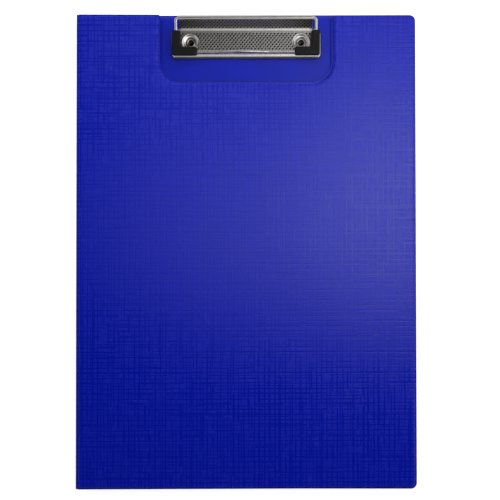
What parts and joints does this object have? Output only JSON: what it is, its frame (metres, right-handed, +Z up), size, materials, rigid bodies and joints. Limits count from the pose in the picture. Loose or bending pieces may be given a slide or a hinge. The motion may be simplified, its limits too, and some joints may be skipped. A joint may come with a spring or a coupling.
{
  "type": "clipboard folder",
  "caption": "Fold-over clipboard folder with plastic-covered boards, a cut-out front cover on a soft spine, and a sprung wire clip with corner caps.",
  "frame": {"origin": "centre of the closed folder's outline, on the surface it lies on", "axes": "+X from the spine to the free edge, +Y towards the clip, +Z up out of the front cover"},
  "size_m": [0.23, 0.322, 0.014],
  "materials": {
    "embossed_pvc": "embossed, satin",
    "lining_pvc": "smooth, satin",
    "pocket_pvc": "smooth, satin",
    "greyboard": "raw board",
    "nickel_plate": "nickel-plated, knurled",
    "nickel_wire": "nickel-plated, bright",
    "rivet_metal": "nickel-plated",
    "cap_rubber": "matt"
  },
  "bodies": {
    "back_board": {"back_outer_skin": "embossed_pvc", "back_board_core": "greyboard", "back_inner_lining": "lining_pvc", "clip_base_plate": "nickel_plate", "rivet_left": "rivet_metal", "rivet_right": "rivet_metal"},
    "spine": {"spine_outer_skin": "embossed_pvc", "spine_inner_lining": "lining_pvc"},
    "front_cover": {"front_outer_skin": "embossed_pvc", "front_cover_core": "greyboard", "front_inner_lining": "lining_pvc", "front_pocket": "pocket_pvc"},
    "wire_bail": {"wire_bail": "nickel_wire", "corner_cap_left": "cap_rubber", "corner_cap_right": "cap_rubber"}
  },
  "joints": [
    {"name": "spine_fold", "type": "hinge", "parent": "back_board", "child": "spine", "pos_m": [-0.11425, 0, 0.00135], "axis": [0, -1, 0], "range_deg": [0, 179]},
    {"name": "cover_fold", "type": "hinge", "parent": "spine", "child": "front_cover", "pos_m": [-0.11425, 0, 0.00935], "axis": [0, -1, 0], "range_deg": [0, 179]},
    {"name": "bail_hinge", "type": "hinge", "parent": "back_board", "child": "wire_bail", "pos_m": [0, 0.15693, 0.0113], "axis": [-1, 0, 0], "range_deg": [0, 100], "stiffness_Nm_per_rad": 0.1, "springref_deg": -68.75}
  ]
}
